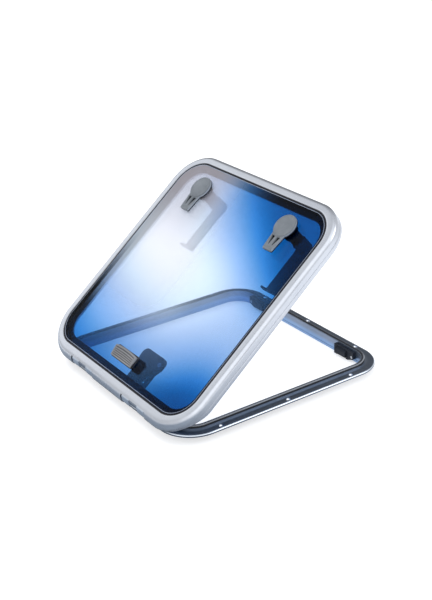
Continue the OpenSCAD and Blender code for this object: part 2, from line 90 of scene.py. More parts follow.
# ---------------------------------------------------------------- node helpers
class Mat:
    """A small builder for procedural materials in row-frame metres."""

    def __init__(self, name, **sockets):
        self.m = bpy.data.materials.new(name)
        self.m.use_nodes = True
        self.t = self.m.node_tree
        self.n = self.t.nodes
        self.b = self.n["Principled BSDF"]
        self.out = self.n["Material Output"]
        for k, v in sockets.items():
            self.b.inputs[k.replace("_", " ")].default_value = v
        self._co = None

    def link(self, x, y):
        self.t.links.new(x, y)

    def put(self, socket, v):
        if hasattr(v, "node"):
            self.link(v, socket)
        else:
            socket.default_value = v

    def co(self):
        if self._co is None:
            self._co = self.n.new("ShaderNodeTexCoord").outputs["Object"]
        return self._co

    def lid_co(self):
        """Position with the lid turned shut, in millimetres."""
        v = self.n.new("ShaderNodeVectorMath")
        v.operation = "SUBTRACT"
        self.link(self.co(), v.inputs[0])
        v.inputs[1].default_value = AX
        r = self.n.new("ShaderNodeVectorRotate")
        r.rotation_type = "X_AXIS"
        self.link(v.outputs[0], r.inputs["Vector"])
        r.inputs["Angle"].default_value = -OPEN
        w = self.n.new("ShaderNodeVectorMath")
        w.operation = "MULTIPLY_ADD"
        self.link(r.outputs[0], w.inputs[0])
        w.inputs[1].default_value = (1000, 1000, 1000)
        w.inputs[2].default_value = AX * 1000
        return w.outputs[0]

    def noise(self, scale, detail=3, rough=0.55, vec=None, stretch=None, distortion=0):
        n = self.n.new("ShaderNodeTexNoise")
        n.inputs["Scale"].default_value = scale
        n.inputs["Detail"].default_value = detail
        n.inputs["Roughness"].default_value = rough
        n.inputs["Distortion"].default_value = distortion
        v = vec if vec is not None else self.co()
        if stretch:
            mp = self.n.new("ShaderNodeMapping")
            mp.inputs["Scale"].default_value = stretch
            self.link(v, mp.inputs["Vector"])
            v = mp.outputs[0]
        self.link(v, n.inputs["Vector"])
        return n.outputs["Fac"]

    def math(self, op, x, y=0.0, z=0.0, clamp=False):
        n = self.n.new("ShaderNodeMath")
        n.operation = op
        n.use_clamp = clamp
        self.put(n.inputs[0], x)
        self.put(n.inputs[1], y)
        self.put(n.inputs[2], z)
        return n.outputs[0]

    def rng(self, v, a0, a1, b0, b1, smooth=False):
        n = self.n.new("ShaderNodeMapRange")
        n.interpolation_type = "SMOOTHSTEP" if smooth else "LINEAR"
        self.link(v, n.inputs["Value"])
        n.inputs["From Min"].default_value = a0
        n.inputs["From Max"].default_value = a1
        n.inputs["To Min"].default_value = b0
        n.inputs["To Max"].default_value = b1
        return n.outputs["Result"]

    def ramp(self, fac, stops):
        n = self.n.new("ShaderNodeValToRGB")
        self.link(fac, n.inputs["Fac"])
        cr = n.color_ramp
        while len(cr.elements) < len(stops):
            cr.elements.new(0.5)
        for el, (p, col) in zip(cr.elements, stops):
            el.position = p
            el.color = (*col, 1)
        return n.outputs["Color"]

    def mix(self, fac, x, y):
        n = self.n.new("ShaderNodeMix")
        n.data_type = "RGBA"
        self.put(n.inputs["Factor"], fac)
        for sck, v in ((n.inputs[6], x), (n.inputs[7], y)):
            self.put(sck, v if hasattr(v, "node") else (*v, 1))
        return n.outputs[2]

    def xyz(self, v):
        n = self.n.new("ShaderNodeSeparateXYZ")
        self.link(v, n.inputs[0])
        return n.outputs

    def bump(self, h, strength, dist, normal=None):
        n = self.n.new("ShaderNodeBump")
        n.inputs["Strength"].default_value = strength
        n.inputs["Distance"].default_value = dist
        self.link(h, n.inputs["Height"])
        if normal is not None:
            self.link(normal, n.inputs["Normal"])
        return n.outputs["Normal"]


def set_in(mt, name, v):
    mt.put(mt.b.inputs[name], v)


# ---------------------------------------------------------------- materials
def anodised(name, light, dark, rough=(0.27, 0.40), grain=1.0, metallic=1.0):
    """Satin anodised aluminium: fine etched grain, soft cloudiness, and faint scuffs."""
    t = Mat(name, Metallic=metallic)
    cloud = t.noise(9, 4, 0.6)
    fine = t.noise(1400, 2, 0.5)
    streak = t.noise(160, 2, 0.5, stretch=(0.25, 1, 1), distortion=0.4)
    mixf = t.math("MULTIPLY_ADD", cloud, 0.7, t.math("MULTIPLY", streak, 0.3))
    set_in(t, "Base Color", t.ramp(mixf, [(0.30, dark), (0.62, light)]))
    scuff = t.noise(42, 5, 0.75, distortion=1.2)
    r = t.rng(cloud, 0.3, 0.7, rough[0], rough[1])
    r = t.math("ADD", r, t.rng(scuff, 0.60, 0.72, 0.0, 0.06))
    set_in(t, "Roughness", r)
    h = t.math("MULTIPLY_ADD", streak, 0.35, fine)
    set_in(t, "Normal", t.bump(h, 0.22 * grain, 0.00006))
    return t.m


def plastic(name, light, dark, rough=(0.42, 0.58), grain=1.0, spec=0.45, scale=1.0):
    """Spark-textured moulded plastic, with paler scuffing and a little dust."""
    t = Mat(name, Specular_IOR_Level=spec)
    cloud = t.noise(26 * scale, 4, 0.6)
    texture = t.noise(1900, 2, 0.5)
    pebble = t.noise(650, 2, 0.45)
    scuff = t.noise(75 * scale, 5, 0.8, distortion=1.6)
    base = t.ramp(cloud, [(0.3, dark), (0.7, light)])
    worn = tuple(min(1.0, v * 1.35 + 0.012) for v in light)
    set_in(t, "Base Color", t.mix(t.rng(scuff, 0.60, 0.75, 0.0, 0.55), base, worn))
    set_in(t, "Roughness", t.rng(pebble, 0.25, 0.75, rough[0], rough[1]))
    h = t.math("MULTIPLY_ADD", pebble, 0.9, texture)
    set_in(t, "Normal", t.bump(h, 0.35 * grain, 0.00010))
    return t.m


def rubber(name, light, dark, rough=(0.55, 0.78), sheen=0.25):
    t = Mat(name, Specular_IOR_Level=0.35, Sheen_Weight=sheen, Sheen_Roughness=0.5)
    cloud = t.noise(30, 4, 0.65)
    fine = t.noise(900, 3, 0.6)
    set_in(t, "Base Color", t.ramp(cloud, [(0.32, dark), (0.7, light)]))
    set_in(t, "Roughness", t.rng(fine, 0.3, 0.7, rough[0], rough[1]))
    set_in(t, "Normal", t.bump(fine, 0.25, 0.00009))
    return t.m


def stainless(name):
    t = Mat(name, Metallic=1.0)
    ring = t.noise(2200, 2, 0.5, stretch=(1, 1, 0.15))
    cloud = t.noise(60, 3, 0.6)
    set_in(t, "Base Color", t.ramp(cloud, [(0.3, (0.50, 0.51, 0.53)), (0.7, (0.66, 0.67, 0.69))]))
    set_in(t, "Roughness", t.rng(ring, 0.3, 0.7, 0.20, 0.34))
    set_in(t, "Normal", t.bump(ring, 0.15, 0.00004))
    return t.m


def edge_distance(t, v, corner):
    """Distance outward from a rounded square's inner core: constant along its outline."""
    a_ = t.n.new("ShaderNodeVectorMath")
    a_.operation = "ABSOLUTE"
    t.link(v, a_.inputs[0])
    b_ = t.n.new("ShaderNodeVectorMath")
    b_.operation = "SUBTRACT"
    t.link(a_.outputs[0], b_.inputs[0])
    b_.inputs[1].default_value = (corner, corner, 1e6)
    c_ = t.n.new("ShaderNodeVectorMath")
    c_.operation = "MAXIMUM"
    t.link(b_.outputs[0], c_.inputs[0])
    d_ = t.n.new("ShaderNodeVectorMath")
    d_.operation = "LENGTH"
    t.link(c_.outputs[0], d_.inputs[0])
    return d_.outputs["Value"]


def acrylic(name):
    """Blue-tinted cast acrylic. The tint is deep towards two corners and pales in a broad band between them, where the
    sheet also carries a soft milky veil; the pale band, the veil and a grey upper corner are painted reflection over
    the real blue tint. Near its edge the sheet has a painted shadow band along the bead and a thin painted highlight
    line."""
    t = Mat(name, Roughness=0.05, IOR=1.49, Specular_IOR_Level=0.15)
    v = t.lid_co()
    p = t.xyz(v)
    x, y = p[0], p[1]
    dy = t.math("SUBTRACT", y, t.math("MULTIPLY_ADD", x, -0.25, 16.5))
    su = t.math("MULTIPLY_ADD", x, -0.20, 113.0)
    su = t.math("MULTIPLY_ADD", t.math("SMOOTH_MAX", t.math("SUBTRACT", 0.0, x), 0.0, 120.0), 0.42, su)
    sd = t.rng(x, 20, 230, 172, 84, smooth=True)
    qu = t.math("DIVIDE", t.math("MAXIMUM", dy, 0.0), su)
    qd = t.math("DIVIDE", t.math("MAXIMUM", t.math("MULTIPLY", dy, -1.0), 0.0), sd)
    q2 = t.math("ADD", t.math("MULTIPLY", qu, qu), t.math("POWER", qd, 2.3))
    g = t.math("EXPONENT", t.math("MULTIPLY", q2, -1.0))
    amp = t.math("MULTIPLY", t.rng(x, -110, 250, 0.96, 0.37, smooth=True), t.rng(x, -240, -175, 0.80, 1.0, smooth=True))
    f = t.math("MULTIPLY", g, amp)
    haze = t.noise(5, 3, 0.5)
    f = t.math("MULTIPLY", f, t.rng(haze, 0.3, 0.7, 0.985, 1.015), clamp=True)
    # painted reflection: the ramp runs from the sheet's deep blue tint to a pale band that stands in for reflected
    # light
    stops = [(0.0, (0.003, 0.065, 0.25)), (0.02, (0.006, 0.115, 0.38)), (0.06, (0.028, 0.19, 0.54)), (0.11, (0.075, 0.255, 0.58)),
             (0.21, (0.175, 0.355, 0.67)), (0.34, (0.285, 0.455, 0.75)), (0.5, (0.43, 0.57, 0.81)), (0.73, (0.63, 0.75, 0.89)),
             (1.0, (0.86, 0.88, 0.95))]
    tint_and_painted_reflection = t.ramp(f, stops)
    # both faces count, so each carries the square root of the whole sheet's tint
    half = t.n.new("ShaderNodeGamma")
    t.link(tint_and_painted_reflection, half.inputs["Color"])
    half.inputs["Gamma"].default_value = 0.5
    # painted reflection: a milky veil over part of the sheet, and a grey upper corner, stand in for reflected light
    amount = t.math("MULTIPLY", t.rng(x, -90, 85, 0.52, 0.0, smooth=True), t.rng(y, -165, -60, 0.0, 1.0, smooth=True))
    corner = t.math("MULTIPLY", t.rng(y, 20, 190, 0.0, 1.0, smooth=True), t.rng(x, -150, -10, 1.0, 0.0, smooth=True))
    tint_with_painted_glare = t.mix(corner, tint_and_painted_reflection, (0.50, 0.485, 0.55))
    dim = t.n.new("ShaderNodeMix")
    dim.data_type, dim.blend_type = "RGBA", "MULTIPLY"
    dim.inputs["Factor"].default_value = 1.0
    t.link(tint_with_painted_glare, dim.inputs[6])
    dim.inputs[7].default_value = (0.80, 0.77, 0.74, 1)
    # a painted shadow band along the bead, where the veil is left out; a thin painted highlight line; then the sealant
    # that laps over the sheet's edge
    ed = edge_distance(t, v, 179.5)
    painted_bead_shadow = t.math("MULTIPLY", t.rng(ed, 40.7, 41.5, 0.0, 1.0), t.rng(y, -130, 60, 1.0, 0.0, smooth=True))
    amount = t.math("MULTIPLY", amount, t.math("SUBTRACT", 1.0, painted_bead_shadow))
    painted_edge_highlight = t.math("MULTIPLY", t.rng(ed, 54.3, 54.6, 0.0, 1.0), t.rng(ed, 55.6, 55.8, 1.0, 0.0))
    lap = t.rng(ed, 55.6, 55.8, 0.0, 1.0)
    amount = t.math("MAXIMUM", t.math("MAXIMUM", amount, t.math("MULTIPLY", painted_edge_highlight, 0.45)), lap)
    smear = t.noise(28, 4, 0.7)
    set_in(t, "Base Color", t.mix(lap, t.mix(painted_edge_highlight, dim.outputs[2], (0.40, 0.46, 0.58)), (0.008, 0.008, 0.012)))
    set_in(t, "Roughness", t.rng(smear, 0.35, 0.7, 0.05, 0.12))
    clear = t.n.new("ShaderNodeBsdfTransparent")
    t.link(half.outputs[0], clear.inputs["Color"])
    body = t.n.new("ShaderNodeMixShader")
    t.link(amount, body.inputs[0])
    t.link(clear.outputs[0], body.inputs[1])
    t.link(t.b.outputs[0], body.inputs[2])
    gloss = t.n.new("ShaderNodeBsdfGlossy")
    gloss.inputs["Color"].default_value = (0.92, 0.96, 1.0, 1)
    t.link(t.rng(smear, 0.35, 0.7, 0.02, 0.06), gloss.inputs["Roughness"])
    fr = t.n.new("ShaderNodeFresnel")
    fr.inputs["IOR"].default_value = 1.45
    top = t.n.new("ShaderNodeMixShader")
    t.link(t.math("MULTIPLY", fr.outputs[0], 0.18), top.inputs[0])
    t.link(body.outputs[0], top.inputs[1])
    t.link(gloss.outputs[0], top.inputs[2])
    t.link(top.outputs[0], t.out.inputs["Surface"])
    return t.m


def base_alloy(name):
    """Slate anodised flange with a painted highlight on its outer bevel, painted shading across its top, and a satin
    inner wall that is pale blue low down and darker at its top.
    """
    t = Mat(name, Metallic=1.0)
    cloud = t.noise(9, 4, 0.6)
    fine = t.noise(1400, 2, 0.5)
    streak = t.noise(160, 2, 0.5, stretch=(0.25, 1, 1), distortion=0.4)
    scuff = t.noise(42, 5, 0.75, distortion=1.2)
    mixf = t.math("MULTIPLY_ADD", cloud, 0.7, t.math("MULTIPLY", streak, 0.3))
    r = edge_distance(t, t.co(), 0.1795)
    z = t.xyz(t.co())[2]
    slate = t.ramp(mixf, [(0.30, (0.135, 0.162, 0.208)), (0.62, (0.185, 0.215, 0.268))])
    pale = t.ramp(mixf, [(0.30, (0.20, 0.235, 0.29)), (0.62, (0.27, 0.31, 0.37))])
    # painted shading: paler next to the seal's groove, darker towards the bevel
    top = t.mix(t.rng(r, 0.0515, 0.0585, 1.0, 0.0, smooth=True), slate, pale)
    wall_low = t.ramp(mixf, [(0.30, (0.27, 0.42, 0.66)), (0.62, (0.36, 0.52, 0.76))])
    wall_top = t.ramp(mixf, [(0.30, (0.25, 0.30, 0.39)), (0.62, (0.33, 0.38, 0.47))])
    wall = t.mix(t.rng(z, -0.007, 0.004, 0.0, 1.0, smooth=True), wall_low, wall_top)
    inner = t.math("MULTIPLY", t.rng(r, 0.0431, 0.0435, 1.0, 0.0), t.rng(z, 0.0105, 0.0112, 1.0, 0.0))
    # painted highlight: the outer bevel is painted pale, for the bright reflection along it
    cut = t.ramp(mixf, [(0.30, (0.58, 0.62, 0.68)), (0.62, (0.66, 0.70, 0.75))])
    bevel = t.math("MULTIPLY", t.rng(r, 0.0692, 0.0694, 0.0, 1.0), t.rng(z, 0.0026, 0.0028, 0.0, 1.0))
    av = t.n.new("ShaderNodeVectorMath")
    av.operation = "ABSOLUTE"
    t.link(t.co(), av.inputs[0])
    near = None
    for hx, hy in ((0.2418, 0.0), (0.2418, 0.156), (0.0, 0.2418), (0.156, 0.2418)):
        dv = t.n.new("ShaderNodeVectorMath")
        dv.operation = "DISTANCE"
        t.link(av.outputs[0], dv.inputs[0])
        dv.inputs[1].default_value = (hx, hy, 0.004)
        near = dv.outputs["Value"] if near is None else t.math("MINIMUM", near, dv.outputs["Value"])
    sunk = t.rng(near, 0.0038, 0.0042, 1.0, 0.0)
    col = t.mix(bevel, t.mix(inner, top, wall), cut)
    set_in(t, "Base Color", t.mix(sunk, col, (0.93, 0.94, 0.96)))
    ro = t.rng(cloud, 0.3, 0.7, 0.26, 0.38)
    set_in(t, "Roughness", t.math("ADD", ro, t.rng(scuff, 0.60, 0.72, 0.0, 0.06)))
    set_in(t, "Normal", t.bump(t.math("MULTIPLY_ADD", streak, 0.35, fine), 0.22, 0.00006))
    return t.m


def bulb_rubber(name):
    """Seal rubber with a painted highlight along its crest."""
    t = Mat(name, Specular_IOR_Level=0.4)
    cloud = t.noise(30, 4, 0.65)
    fine = t.noise(900, 3, 0.6)
    z = t.xyz(t.co())[2]
    r = edge_distance(t, t.co(), 0.1795)
    base = t.ramp(cloud, [(0.32, (0.012, 0.013, 0.017)), (0.7, (0.026, 0.027, 0.033))])
    # painted highlight: a pale line along the bulb's crest, where light catches it
    painted_crest_highlight = t.math("MULTIPLY", t.rng(z, 0.0111, 0.0115, 0.0, 1.0), t.rng(r, 0.0479, 0.0483, 0.0, 1.0))
    painted_crest_highlight = t.math("MULTIPLY", painted_crest_highlight, t.rng(cloud, 0.25, 0.6, 0.75, 1.0))
    set_in(t, "Base Color", t.mix(painted_crest_highlight, base, (0.22, 0.235, 0.26)))
    set_in(t, "Roughness", t.rng(fine, 0.3, 0.7, 0.45, 0.65))
    set_in(t, "Normal", t.bump(fine, 0.25, 0.00009))
    return t.m


def two_tone(name, light, dark, z_low, rough=(0.38, 0.52), under=(0.010, 0.011, 0.015), side=None):
    """Grey moulding, black below a set height above the shut lid's deck."""
    t = Mat(name, Specular_IOR_Level=0.45)
    cloud = t.noise(26, 4, 0.6)
    texture = t.noise(1900, 2, 0.5)
    pebble = t.noise(650, 2, 0.45)
    scuff = t.noise(75, 5, 0.8, distortion=1.6)
    base = t.ramp(cloud, [(0.3, dark), (0.7, light)])
    worn = tuple(min(1.0, v * 1.35 + 0.012) for v in light)
    col = t.mix(t.rng(scuff, 0.60, 0.75, 0.0, 0.55), base, worn)
    lx, ly, z = t.xyz(t.lid_co())[:3]
    if side:
        # painted highlight: the handle's outer flanks are painted paler than its face, for the light they catch
        off = t.math("ABSOLUTE", t.math("SUBTRACT", t.math("ABSOLUTE", lx, 0.0), 143.0), 0.0)
        painted_flank_highlight = t.math("MULTIPLY", t.rng(off, 12.5, 12.8, 0.0, 1.0), t.rng(z, 37.4, 38.0, 1.0, 0.0))
        col = t.mix(t.math("MULTIPLY", painted_flank_highlight, t.rng(cloud, 0.25, 0.6, 0.7, 1.0)), col, side)
    set_in(t, "Base Color", t.mix(t.rng(z, z_low - 0.1, z_low + 0.1, 0.0, 1.0), under, col))
    set_in(t, "Roughness", t.rng(pebble, 0.25, 0.75, rough[0], rough[1]))
    set_in(t, "Normal", t.bump(t.math("MULTIPLY_ADD", pebble, 0.9, texture), 0.35, 0.00010))
    return t.m


M = {
    "lid": anodised("lid_anodised", (0.63, 0.65, 0.69), (0.55, 0.57, 0.62), rough=(0.23, 0.33)),
    "base": base_alloy("base_anodised"),
    "hinge": anodised("hinge_anodised", (0.30, 0.34, 0.40), (0.22, 0.25, 0.31)),
    "hinge_light": anodised("hinge_leaf_anodised", (0.66, 0.71, 0.78), (0.56, 0.61, 0.69)),
    "black": plastic("black_moulding", (0.013, 0.014, 0.020), (0.006, 0.007, 0.011), spec=0.2),
    "keeper": plastic("keeper_moulding", (0.015, 0.018, 0.026), (0.007, 0.009, 0.014), rough=(0.40, 0.55), spec=0.25),
    # side= is a painted highlight colour for the handle's flanks
    "grey": two_tone("grey_moulding", (0.165, 0.182, 0.200), (0.110, 0.124, 0.140), 34.7, rough=(0.30, 0.44), side=(0.29, 0.32, 0.36)),
    "pad": two_tone("taupe_moulding", (0.238, 0.238, 0.246), (0.156, 0.158, 0.168), 32.6, rough=(0.42, 0.56)),
    # painted shade: the pad's groove faces take this darker moulding, for the shade in the grooves
    "groove": plastic("taupe_moulding_painted_groove_shade", (0.065, 0.063, 0.065), (0.035, 0.034, 0.037), rough=(0.55, 0.7)),
    "paddle": plastic("lever_moulding", (0.022, 0.025, 0.034), (0.010, 0.012, 0.018), rough=(0.40, 0.55), spec=0.3),
    "knob": plastic("adjuster_moulding", (0.22, 0.25, 0.31), (0.14, 0.16, 0.21)),
    "bulb": bulb_rubber("seal_bulb_rubber"),
    "rubber": rubber("seal_rubber", (0.030, 0.031, 0.036), (0.014, 0.015, 0.019)),
    "sealant": rubber("glazing_sealant", (0.012, 0.013, 0.018), (0.006, 0.006, 0.010), rough=(0.38, 0.6), sheen=0.0),
    "lining": rubber("brake_lining", (0.10, 0.075, 0.06), (0.05, 0.038, 0.032), rough=(0.75, 0.92)),
    "steel": stainless("stainless"),
    "acrylic": acrylic("tinted_acrylic"),
}
WHICH = {
    "base_alloy": "base", "lid_alloy": "lid", "hinge_alloy": "hinge", "seal_rubber": "rubber", "sealant": "sealant",
    "black_plastic": "black", "grey_plastic": "grey", "knob_grey": "knob", "brake_lining": "lining", "stainless": "steel", "acrylic": "acrylic",
}
SLOT = {p["node"]: p["material_slot"] for p in frame["record"]["subparts"]}
SPECIAL = {"hinge_lid_left": "hinge_light", "hinge_lid_right": "hinge_light", "stay_pad": "pad", "stay_lever": "paddle",
           "keeper_left": "keeper", "keeper_right": "keeper", "base_seal": "bulb"}


def smooth(me, deg=32):
    me.polygons.foreach_set("use_smooth", [True] * len(me.polygons))
    me.set_sharp_from_angle(angle=math.radians(deg))
    me.update()


for name, o in N.items():
    key = SPECIAL.get(name, WHICH[SLOT[name]])
    o.data.materials.clear()
    o.data.materials.append(M[key])
N["lid_pane"].visible_shadow = False


# ---------------------------------------------------------------- mesh helpers
def add(name, verts, faces, matrix, mat, body, slot, replaces=(), deg=32):
    me = bpy.data.meshes.new(name)
    me.from_pydata([matrix @ Vector(v) for v in verts], [], faces)
    me.validate()
    bm = bmesh.new()
    bm.from_mesh(me)
    bmesh.ops.recalc_face_normals(bm, faces=bm.faces)
    bm.to_mesh(me)
    bm.free()
    me.materials.append(mat)
    smooth(me, deg)
    o = bpy.data.objects.new(name, me)
    scene.collection.objects.link(o)
    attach(o, body)
    if replaces:
        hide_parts(*replaces)
    return o


def loft(rings, closed_u=True, closed_v=False, cap=False):
    """Quads between rings of equal length."""
    n, k = len(rings[0]), len(rings)
    verts = [p for r in rings for p in r]
    faces = []
    for i in range(k if closed_v else k - 1):
        j = (i + 1) % k
        for q in range(n if closed_u else n - 1):
            w = (q + 1) % n
            faces.append((i * n + q, i * n + w, j * n + w, j * n + q))
    if cap:
        faces.append(tuple(range(n - 1, -1, -1)))
        faces.append(tuple((k - 1) * n + q for q in range(n)))
    return verts, faces


def lathe(profile, cx, cy, n=96):
    """Revolve (radius, z) points about a vertical axis. Closed profile if its ends are at radius 0."""
    verts, faces, rings = [], [], []
    for r, z in profile:
        if r < 1e-6:
            rings.append([len(verts)])
            verts.append((cx, cy, z))
        else:
            rings.append(list(range(len(verts), len(verts) + n)))
            verts += [(cx + r * math.cos(2 * math.pi * i / n), cy + r * math.sin(2 * math.pi * i / n), z) for i in range(n)]
    for r1, r2 in zip(rings, rings[1:]):
        for i in range(n):
            j = (i + 1) % n
            if len(r1) == 1 and len(r2) == 1:
                continue
            if len(r1) == 1:
                faces.append((r1[0], r2[i], r2[j]))
            elif len(r2) == 1:
                faces.append((r1[i], r2[0], r1[j]))
            else:
                faces.append((r1[i], r2[i], r2[j], r1[j]))
    return verts, faces


def rounded(points, segs=6):
    """A polygon with rounded corners. Points are (x, y, radius)."""
    out = []
    n = len(points)
    for i, (x, y, r) in enumerate(points):
        p, q, w = Vector(points[i - 1][:2]), Vector((x, y)), Vector(points[(i + 1) % n][:2])
        if r <= 0:
            out.append((x, y))
            continue
        d1, d2 = (p - q).normalized(), (w - q).normalized()
        ang = math.acos(max(-1, min(1, d1.dot(d2))))
        t = min(r / math.tan(ang / 2), (p - q).length * 0.49, (w - q).length * 0.49)
        rr = t * math.tan(ang / 2)
        cen = q + (d1 + d2).normalized() * (rr / math.sin(ang / 2))
        s0, s1 = q + d1 * t - cen, q + d2 * t - cen
        a0, a1 = math.atan2(s0.y, s0.x), math.atan2(s1.y, s1.x)
        d = (a1 - a0 + math.pi) % (2 * math.pi) - math.pi
        for k in range(segs + 1):
            out.append((cen.x + rr * math.cos(a0 + d * k / segs), cen.y + rr * math.sin(a0 + d * k / segs)))
    return out


def slab(outer, holes, z0, z1, bevel, res=3):
    """A plate with holes and rounded edges, through a filled 2D curve. Returns verts and faces."""
    cu = bpy.data.curves.new("tmp", "CURVE")
    cu.dimensions = "2D"
    cu.fill_mode = "BOTH"
    cu.extrude = (z1 - z0) / 2 - bevel
    cu.bevel_depth = bevel
    cu.bevel_resolution = res
    cu.offset = -bevel
    for ring_ in [outer] + holes:
        sp = cu.splines.new("POLY")
        sp.points.add(len(ring_) - 1)
        for pt, (x, y) in zip(sp.points, ring_):
            pt.co = (x, y, 0, 1)
        sp.use_cyclic_u = True
    ob = bpy.data.objects.new("tmp", cu)
    scene.collection.objects.link(ob)
    bpy.context.view_layer.update()
    me = bpy.data.meshes.new_from_object(ob.evaluated_get(bpy.context.evaluated_depsgraph_get()))
    bm = bmesh.new()
    bm.from_mesh(me)
    bmesh.ops.remove_doubles(bm, verts=bm.verts, dist=0.005)
    bmesh.ops.dissolve_degenerate(bm, dist=0.002, edges=bm.edges)
    bm.to_mesh(me)
    bm.free()
    zc = (z0 + z1) / 2
    v = [(p.co.x, p.co.y, p.co.z + zc) for p in me.vertices]
    f = [tuple(p.vertices) for p in me.polygons]
    bpy.data.objects.remove(ob)
    bpy.data.curves.remove(cu)
    bpy.data.meshes.remove(me)
    return v, f


def join(*parts):
    verts, faces = [], []
    for v, f in parts:
        k = len(verts)
        verts += v
        faces += [tuple(i + k for i in q) for q in f]
    return verts, faces


def shift(part, dx=0, dy=0, dz=0, sx=1):
    v, f = part
    return [(x * sx + dx, y + dy, z + dz) for x, y, z in v], f


def boolean(o, cutters):
    """Take the cutters' volume out of o, for good."""
    for v, f in cutters:
        me = bpy.data.meshes.new("cut")
        me.from_pydata([o["cutm"] @ Vector(p) for p in v] if "cutm" in o else v, [], f)
        bm = bmesh.new()
        bm.from_mesh(me)
        bmesh.ops.recalc_face_normals(bm, faces=bm.faces)
        bm.to_mesh(me)
        bm.free()
        cob = bpy.data.objects.new("cut", me)
        scene.collection.objects.link(cob)
        md = o.modifiers.new("cut", "BOOLEAN")
        md.operation, md.solver, md.object = "DIFFERENCE", "EXACT", cob
        bpy.context.view_layer.update()
        new = bpy.data.meshes.new_from_object(o.evaluated_get(bpy.context.evaluated_depsgraph_get()))
        o.modifiers.remove(md)
        old = o.data
        o.data = new
        bpy.data.meshes.remove(old)
        bpy.data.objects.remove(cob)
        bpy.data.meshes.remove(me)


def cuboid(x0, x1, y0, y1, z0, z1):
    v = [(x, y, z) for x in (x0, x1) for y in (y0, y1) for z in (z0, z1)]
    f = [(0, 1, 3, 2), (4, 6, 7, 5), (0, 4, 5, 1), (2, 3, 7, 6), (0, 2, 6, 4), (1, 5, 7, 3)]
    return v, f


def on(matrix, part):
    v, f = part
    return [tuple(matrix @ Vector(p)) for p in v], f


# ---------------------------------------------------------------- lid rim
RO, RR, CC, SIDE, REAR, TOP = 239.4, 59.9, 179.5, 18.6, 27.2, 29.0
RCX = CC + SIDE - REAR


def ease(t):
    t = max(0.0, min(1.0, t))
    return t * t * (3 - 2 * t)


def rim_stations():
    """(inner x, y, outer x, y, blend to the hinge side's broad shoulder) round the lid."""
    out = []
    seg, arc = 24, 22

    def pt(ci, ri, co, ro_, ang, b):
        d = (math.cos(ang), math.sin(ang))
        out.append((ci[0] + ri * d[0], ci[1] + ri * d[1], co[0] + ro_ * d[0], co[1] + ro_ * d[1], b))

    for i in range(seg):
        y = -CC + 2 * CC * i / seg
        out.append((RO, y, RO + SIDE, y, 0.0))
    for i in range(arc):
        pt((CC, CC), RR, (CC, CC), RR + SIDE, math.pi / 2 * i / arc, 0.0)
    for i in range(seg):
        x = CC - 2 * CC * i / seg
        out.append((x, RO, x, RO + SIDE, 0.0))
    for i in range(arc):
        pt((-CC, CC), RR, (-CC, CC), RR + SIDE, math.pi / 2 + math.pi / 2 * i / arc, 0.0)
    for i in range(seg):
        y = CC - 2 * CC * i / seg
        out.append((-RO, y, -RO - SIDE, y, 0.0))
    for i in range(arc):
        pt((-CC, -CC), RR, (-RCX, -CC), RR + REAR, math.pi + math.pi / 2 * i / arc, ease(i / arc))
    for i in range(seg + 16):
        t = i / (seg + 16)
        out.append((-CC + 2 * CC * t, -RO, -RCX + 2 * RCX * t, -RO - REAR, 1.0))
    for i in range(arc):
        pt((CC, -CC), RR, (RCX, -CC), RR + REAR, 1.5 * math.pi + math.pi / 2 * i / arc, ease(1 - i / arc))
    return out


def rim_ring(xi, yi, xo, yo, b):
    w = math.hypot(xo - xi, yo - yi)
    us, hs = 8 + 8.6 * b, 8 + 9 * b
    y = yo
    zb = 2.0 if y > -190 else (8.5 if y < -236 else 2 + 6.5 * (-190 - y) / 46)
    p = []
    # up the pane's side of the rim, over a small radius, out along the flat
    p += [(w + 18.4, 13.8), (w + 18.4, 17.8), (w, 17.8), (w, 28.35), (w - 0.2, 28.8), (w - 0.65, 29.0)]
    for k in range(1, 5):
        p.append((w - 0.65 - (w - 0.65 - us) * k / 4, 29.0))
    for k in range(1, 13):
        al = math.pi / 2 * (1 - k / 12)
        p.append((us * (1 - math.cos(al)), 29 - hs + hs * math.sin(al)))
    zlow = max(12.9, 29 - hs - 4)
    if 29 - hs > 12.9:
        p.append((0, zlow))
    else:
        p.append((0.02, 11.95))
    k0 = 12.4 if 29 - hs > 12.9 else 11.9
    p += [(0.12, k0), (1.4, k0 - 0.1), (1.4, 11.35 if k0 > 12 else 11.2), (0.8, 11.1), (0.7, 10.8)]
    p += [(0.7, zb + 0.4), (1.0, zb), (3.2, zb), (3.5, zb + 0.3)]
    p += [(3.5, 13.5), (3.8, 13.8)]
    ux, uy = (xi - xo) / w, (yi - yo) / w
    return [(xo + ux * u, yo + uy * u, z) for u, z in p]


rim = loft([rim_ring(*st) for st in rim_stations()], closed_u=True, closed_v=True)
rim_o = add("lid_rim", *rim, L, M["lid"], "lid", "lid_alloy", ["lid_frame"], deg=38)
HX = 99.5
boolean(rim_o, [on(L, cuboid(x - 43, x + 43, -300, -256, -20, 60)) for x in (-HX, HX)])
smooth(rim_o.data, 38)

# ---------------------------------------------------------------- handles' outer levers
HY = 181.5


